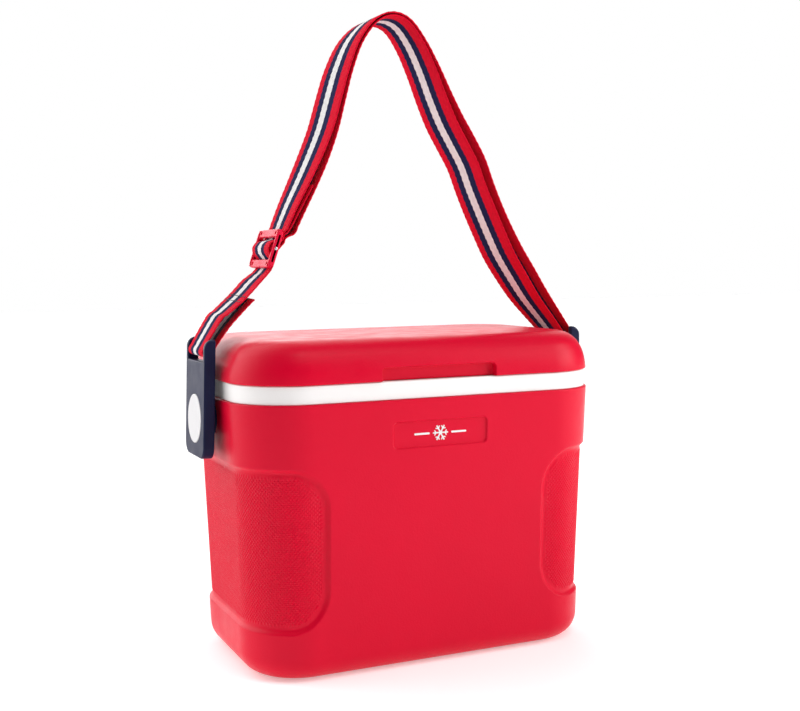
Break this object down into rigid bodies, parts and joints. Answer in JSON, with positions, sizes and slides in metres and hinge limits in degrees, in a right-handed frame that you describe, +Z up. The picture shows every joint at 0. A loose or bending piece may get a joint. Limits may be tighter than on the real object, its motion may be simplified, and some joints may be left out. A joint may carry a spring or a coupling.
{
  "type": "hard-sided cooler",
  "caption": "Hard-sided cooler with a hinged lid, textured end panels and a striped webbing shoulder strap on swinging side brackets.",
  "frame": {"origin": "centre of the flat base, on the surface the cooler stands on", "axes": "+Z up through the lid, +X towards the right end, -Y towards the front with the badge recess"},
  "size_m": [0.3628, 0.2099, 0.5558],
  "materials": {
    "red_shell": "moulded red polypropylene, fine pebble grain, satin",
    "foam": "rigid insulating foam, hidden between the walls",
    "white_liner": "moulded white polypropylene, satin",
    "white_print": "white printed emblem",
    "white_cap": "moulded white plastic, satin",
    "navy_plastic": "moulded navy plastic, satin",
    "steel": "plain steel",
    "white_hinge": "moulded white plastic",
    "webbing": "woven polyester webbing with red, navy and white stripes",
    "red_slider": "moulded red plastic, satin"
  },
  "bodies": {
    "cooler_body": {"outer_shell": "red_shell", "body_foam": "foam", "inner_liner": "white_liner", "badge_emblem": "white_print", "left_pivot_pin": "white_cap", "right_pivot_pin": "white_cap", "left_pivot_washer": "navy_plastic", "right_pivot_washer": "navy_plastic", "pivot_retainers": "steel", "left_hinge_body_leaf": "white_hinge", "right_hinge_body_leaf": "white_hinge", "left_hinge_pin": "steel", "right_hinge_pin": "steel", "hinge_body_screws": "steel"},
    "lid": {"lid_shell": "red_shell", "lid_foam": "foam", "lid_liner": "white_liner", "left_hinge_lid_leaf": "white_hinge", "right_hinge_lid_leaf": "white_hinge", "hinge_lid_screws": "steel"},
    "strap": {"left_bracket": "navy_plastic", "left_crossbar": "steel", "strap_webbing": "webbing", "strap_slider": "red_slider", "slider_bar_pin": "steel"},
    "right_arm": {"right_bracket": "navy_plastic", "right_crossbar": "steel"}
  },
  "joints": [
    {"name": "lid_hinge", "type": "hinge", "parent": "cooler_body", "child": "lid", "pos_m": [0, 0.1052, 0.2432], "axis": [-1, 0, 0], "range_deg": [0, 100]},
    {"name": "strap_swing", "type": "hinge", "parent": "cooler_body", "child": "strap", "pos_m": [0, 0, 0.2104], "axis": [1, 0, 0], "range_deg": [-90, 90], "deforming": ["strap_webbing", "strap_slider", "slider_bar_pin"]},
    {"name": "right_arm_swing", "type": "hinge", "parent": "cooler_body", "child": "right_arm", "pos_m": [0, 0, 0.2104], "axis": [1, 0, 0], "range_deg": [-90, 90]}
  ],
  "couplings": [
    {"joint": "right_arm_swing", "follows": "strap_swing", "ratio": 1}
  ]
}
